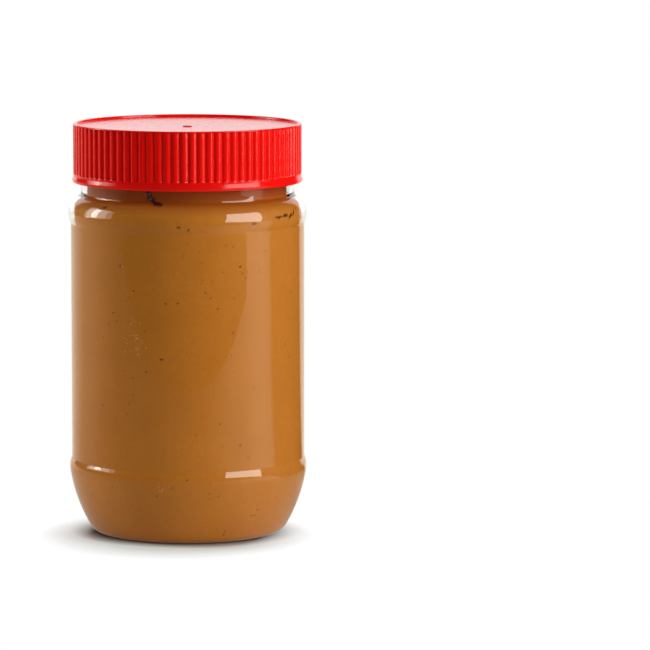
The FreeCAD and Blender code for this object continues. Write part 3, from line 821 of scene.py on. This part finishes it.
def lid_rows():
    """The lid's half section: each row's radius, height and share of the flutes' depth."""
    seat = LID_TOP - RECESS_DEPTH - PANEL_THICKNESS
    panel_top = seat + PANEL_THICKNESS
    band_radius = CREST_RADIUS + BAND_FLARE
    band_top = LID_BASE + BAND_SHOULDER
    ribs_low, ribs_high = LID_BASE + BAND_HEIGHT, LID_TOP - PLAIN_EDGE
    rim_height = LID_TOP - RIM_ROUND

    # under the panel and down the bore
    points = [(1.0 * MM, seat), (LID_BORE * 0.5, seat), (LID_BORE - BORE_LIP, seat)]
    points += [(LID_BORE, seat - BORE_LIP), (LID_BORE, LID_BASE + BORE_LIP)]
    points.append((LID_BORE + BORE_LIP, LID_BASE))

    # the band: its rounded foot, the taper out to its belly, and the draw in to its shoulder
    corners = [
        (LID_BORE, LID_BASE),
        (band_radius - BAND_TAPER, LID_BASE),
        (band_radius, LID_BASE + BAND_BELLY),
        (CREST_RADIUS, band_top),
        (CREST_RADIUS, ribs_low),
    ]
    for i, radius in ((1, BAND_ROUND), (2, BAND_EASE), (3, BAND_EASE)):
        points += eased(corners[i - 1], corners[i], corners[i + 1], radius)
    points += [(CREST_RADIUS, (band_top + ribs_low) / 2 + BAND_ROW), (CREST_RADIUS, ribs_low)]
    rows = plain(points)

    # the ribs, with faint sinks between the screw thread's turns inside
    rows.append((CREST_RADIUS, ribs_low + RIB_SHELF, 1.0))
    for height in np.linspace(ribs_low + RIB_MARGIN, ribs_high - RIB_MARGIN, RIB_ROWS):
        below = (height - LID_TOP) / MM
        swell = sum(math.exp(-((below + level) / SINK_REACH) ** 2) for level in SINK_LEVELS)
        rows.append((CREST_RADIUS - SINK * (1.0 - swell), height, 1.0))
    rows.append((CREST_RADIUS, ribs_high - RIB_SHELF, 1.0))

    # the plain edge, over the rim and down to the panel
    points = [(CREST_RADIUS, ribs_high)]
    points += arc((CREST_RADIUS - RIM_ROUND, rim_height), RIM_ROUND, 8, 90, steps=6)
    points += arc((RIM_INNER + RIM_ROUND, rim_height), RIM_ROUND, 90, 180, steps=6)
    foot_round = PANEL_FOOT_ROUND
    points += arc((RIM_INNER - foot_round, panel_top + foot_round), foot_round, 0, -90, steps=4)

    # in over the dished panel, and up the gate mark
    slope = PANEL_DISH / (RIM_INNER - GATE_RADIUS)
    for radius in [share * RIM_INNER for share in PANEL_ROWS]:
        points.append((radius, panel_top - slope * (RIM_INNER - radius)))
    gate_foot = panel_top - PANEL_DISH
    gate_top = gate_foot + GATE_HEIGHT
    points += [(GATE_RADIUS + gap, gate_foot) for gap in GATE_ROWS]
    points += [
        (GATE_RADIUS, gate_foot + GATE_FOOT),
        (GATE_RADIUS - GATE_DRAFT, gate_top - GATE_ROUND[1]),
        (GATE_RADIUS - GATE_ROUND[0], gate_top),
        (GATE_MIDDLE, gate_top),
    ]
    return rows + plain(points)


def make_lid():
    """The lid as one closed skin of rings that follow its flutes."""
    angles, depths = flute_depths()
    pitch = 2 * math.pi / RIB_COUNT
    # a crest faces the front, so a flute's middle is half a pitch from it
    turns = np.concatenate(
        [azimuth_turn(0.0) + (i + 0.5) * pitch + angles for i in range(RIB_COUNT)]
    )
    flutes = np.tile(depths, RIB_COUNT)
    rows = lid_rows()
    rings = [ring(turns, radius - flutes * share, height) for radius, height, share in rows]
    vertices, faces = lathe(rings, rows[0][1], rows[-1][1])
    add_piece("lid_cap", vertices, faces, RED, "lid", sharp=SHARP_ANGLE)


make_lid()

# ----------------------------------------------------------------------------------------------
# Floor and world
# ----------------------------------------------------------------------------------------------

# The floor's outline. Its front edge lies below what the camera sees, and sets how far up the jar
# the floor is mirrored.
FLOOR_OUTLINE = [
    (-3.0, -0.43), (0.1, -0.43), (0.34, -0.42), (0.56, -0.41), (0.68, -0.39), (1.2, -0.69),
    (3.0, -0.69), (3.0, 4.0), (-3.0, 4.0),
]
FLOOR_COLOUR = (0.85, 0.85, 0.85)
FLOOR_SEEN = (0.86, 0.91, 0.94)  # where the camera sees it lit
FLOOR_CONTACT_SHADOW = (0.1, 0.07, 0.06)  # painted contact shadow where the foot all but touches it
CONTACT_SHADOW_REACH = (35.2 * MM, 44.5 * MM)  # from the axis, from the painted contact shadow to the lit colour
SHADOW_CENTRE = (-4.0 * MM, -15.5 * MM, 0.0)
SHADOW_REACH = (31.0 * MM, 50.0 * MM)  # from there, over which the lit floor fades to white
SHINE_REACH = (90.0 * MM, 160.0 * MM)  # from the axis, from near to far

# How bright the floor looks in a reflection, far from the jar and near it, by azimuth to the right
# of the front
FAR_SHINE = [
    (-180, 1.0), (-146, 0.85), (-118, 0.42), (-99, 0.38), (-82, 0.22), (-68, 0.13), (-40, 0.1),
    (15, 0.1), (32, 0.3), (44, 0.55), (54, 0.62), (66, 0.95), (78, 1.0), (86, 0.75), (91, 0.03),
    (142, 0.03), (146, 1.0), (180, 1.0),
]
NEAR_SHINE = [
    (-180, 0.8), (-110, 0.5), (-60, 0.26), (-30, 0.14), (20, 0.16), (45, 0.42), (85, 0.48),
    (110, 0.4), (180, 0.8),
]
SHINE_TINT = (1.0, 0.99, 0.82)

# How bright the world is in a reflection, and where that changes, as the height of a unit direction
WORLD_DARK = 0.016
BACKDROP_LEVEL = 1.2
BACKDROP_AZIMUTH = 146  # the backdrop lies from here round the back to the other side
BACKDROP_EASE = 0.03
BACKDROP_TOP = (0.62, 0.72)
CEILING_LEVEL = 0.024
CEILING_FOOT = (0.8, 0.86)


def azimuth_ramp(tree, share, levels):
    """A grey level that follows the azimuth, given as a share of the way from -180 to 180."""
    ramp = tree.nodes.new("ShaderNodeValToRGB")
    stops = ramp.color_ramp.elements
    while len(stops) < len(levels):
        stops.new(0.5)
    for stop, (azimuth, level) in zip(stops, levels):
        stop.position = (azimuth + 180) / 360
        stop.color = (*(level * tint for tint in SHINE_TINT), 1.0)
    tree.links.new(share, ramp.inputs[0])
    return ramp.outputs["Color"]


def white_sweep():
    """The floor's material, which is plain to light, graded to reflections and lit to the eye."""
    material, tree, surface = new_material("white_sweep")
    where = own_place(tree)
    reach = vector_math(tree, "LENGTH", where)
    axes = along_axes(tree, where)
    front = add_math(tree, "MULTIPLY", axes["Y"], -1.0)
    turn = add_math(tree, "ARCTAN2", axes["X"], front)
    share = map_range(tree, turn, (-math.pi, math.pi))

    # what the lamps and the object's own light meet
    dull = add_node(tree, "ShaderNodeBsdfDiffuse", {"Color": FLOOR_COLOUR})[0]
    # what a reflection shows
    near, far = azimuth_ramp(tree, share, NEAR_SHINE), azimuth_ramp(tree, share, FAR_SHINE)
    shine = mix_colour(tree, map_range(tree, reach, SHINE_REACH), near, far)
    mirrored = add_node(tree, "ShaderNodeEmission", {"Color": shine})[0]
    # what the camera sees: lit white round the jar, with a painted contact shadow where the foot
    # all but touches, which fades to the plain white background sooner beside and behind the jar
    # than before it
    # painted contact shadow on the floor round the foot
    contact_shadow = map_range(tree, reach, CONTACT_SHADOW_REACH)
    colour = mix_colour(tree, contact_shadow, FLOOR_CONTACT_SHADOW, FLOOR_SEEN)
    lit = add_node(tree, "ShaderNodeBsdfDiffuse", {"Color": colour})[0]
    white = add_node(tree, "ShaderNodeEmission")[0]
    off_centre = vector_math(tree, "DISTANCE", where, SHADOW_CENTRE)
    seen = mix_shader(tree, map_range(tree, off_centre, SHADOW_REACH), lit, white)

    path = add_node(tree, "ShaderNodeLightPath")
    unseen = mix_shader(tree, path["Is Glossy Ray"], dull, mirrored)
    feed(tree, surface, mix_shader(tree, seen_straight(tree), unseen, seen))
    return material


def make_floor():
    """A plain white sweep under the jar."""
    mesh = bpy.data.meshes.new("floor")
    corners = [(x, y, 0.0) for x, y in FLOOR_OUTLINE]
    mesh.from_pydata(corners, [], [tuple(range(len(corners)))])
    mesh.materials.append(white_sweep())
    floor = bpy.data.objects.new("floor", mesh)
    scene.collection.objects.link(floor)


def make_world():
    """White to the camera; else a dark studio with a white backdrop behind and a lit ceiling."""
    world = bpy.data.worlds.new("studio")
    world.use_nodes = True
    scene.world = world
    tree = world.node_tree
    tree.nodes.clear()
    output = tree.nodes.new("ShaderNodeOutputWorld")
    where = add_node(tree, "ShaderNodeTexCoord")["Generated"]
    height = along_axes(tree, where)["Z"]
    level = vector_math(tree, "NORMALIZE", vector_math(tree, "MULTIPLY", where, HORIZONTAL))
    edge = math.cos(math.radians(180 - BACKDROP_AZIMUTH))
    sides = (edge - BACKDROP_EASE, edge + BACKDROP_EASE)
    behind = map_range(tree, along_axes(tree, level)["Y"], sides)
    low = map_range(tree, height, BACKDROP_TOP, (1.0, 0.0))
    backdrop = add_math(tree, "MULTIPLY", behind, low)
    lit = map_range(tree, backdrop, (0.0, 1.0), (WORLD_DARK, BACKDROP_LEVEL))
    ceiling = map_range(tree, height, CEILING_FOOT, (WORLD_DARK, CEILING_LEVEL))
    strength = add_math(tree, "MAXIMUM", lit, ceiling)
    strength = add_math(tree, "MAXIMUM", strength, seen_straight(tree))
    inputs = {"Color": (1.0, 1.0, 1.0), "Strength": strength}
    feed(tree, output.inputs["Surface"], add_node(tree, "ShaderNodeBackground", inputs)[0])


make_floor()
make_world()

# ----------------------------------------------------------------------------------------------
# Lamps and camera
# ----------------------------------------------------------------------------------------------

# Upright softboxes that face the jar's axis: name, azimuth, distance, width, height of the lower
# and of the upper edge, sideways lean in degrees, radiance, and whether it shows in gloss. One
# that doesn't show stands for light that the room sends back.
SOFTBOXES = [
    ("key_softbox", 60.0, 0.75, 0.53, 0.115, 0.75, -12.0, 5.6, True),
    ("key_spill", 62.0, 0.8, 0.70, 0.02, 0.60, 0.0, 0.25, False),
    ("fill_softbox", -97.0, 0.65, 0.46, 0.14, 0.56, 12.0, 1.5, True),
    ("fill_middle", -99.0, 0.645, 0.32, 0.15, 0.54, 13.0, 2.0, True),
    ("fill_core", -101.0, 0.64, 0.1, 0.17, 0.51, 14.0, 6.5, True),
    ("fill_spill", -105.0, 0.8, 0.50, 0.02, 0.50, 0.0, 1.0, False),
]
SOFTBOX_COLOUR = (1.0, 1.02, 0.94)
OVERHEAD_COLOUR = (1.0, 1.0, 1.0)
OVERHEAD_HEIGHT = 0.9
OVERHEAD_WIDTH = 0.8
OVERHEAD_RADIANCE = 0.9

CAMERA_PLACE = (50.24 * MM, -1475 * MM, 265.5 * MM)
CAMERA_DIP = 7.34  # degrees below level
CAMERA_ROLL = -0.073
SENSOR_WIDTH = 36.0  # millimetres, as is the focal length
FOCAL_LENGTH = 223.55


def add_lamp(name, wide, tall, radiance, colour, mirrored):
    """A rectangular lamp of even radiance that the camera doesn't see."""
    lamp = bpy.data.lights.new(name, "AREA")
    lamp.shape = "RECTANGLE"
    lamp.size, lamp.size_y = wide, tall
    lamp.energy = radiance * math.pi * wide * tall
    lamp.color = colour
    box = bpy.data.objects.new(name, lamp)
    box.visible_camera = False
    box.visible_glossy = mirrored
    scene.collection.objects.link(box)
    return box


def make_lamps():
    """The softboxes, and the even light that comes down from the ceiling and shows in no gloss."""
    for name, azimuth, distance, wide, low, high, lean, radiance, mirrored in SOFTBOXES:
        box = add_lamp(name, wide, high - low, radiance, SOFTBOX_COLOUR, mirrored)
        turn = azimuth_turn(azimuth)
        facing = Matrix.Rotation(turn + math.pi / 2, 4, "Z") @ Matrix.Rotation(math.pi / 2, 4, "X")
        facing = facing @ Matrix.Rotation(math.radians(lean), 4, "Z")
        place = (distance * math.cos(turn), distance * math.sin(turn), (low + high) / 2)
        box.matrix_world = Matrix.Translation(place) @ facing
    size = OVERHEAD_WIDTH
    overhead = add_lamp("overhead", size, size, OVERHEAD_RADIANCE, OVERHEAD_COLOUR, False)
    overhead.location = (0.0, 0.0, OVERHEAD_HEIGHT)


def make_camera():
    """The camera that the photo's ellipses were fitted with."""
    camera = bpy.data.objects.new("camera", bpy.data.cameras.new("camera"))
    camera.location = CAMERA_PLACE
    camera.rotation_euler = (math.radians(90 - CAMERA_DIP), math.radians(CAMERA_ROLL), 0.0)
    camera.data.sensor_width = SENSOR_WIDTH
    camera.data.lens = FOCAL_LENGTH
    scene.collection.objects.link(camera)
    scene.camera = camera


make_lamps()
make_camera()
scene.view_settings.view_transform = "Standard"
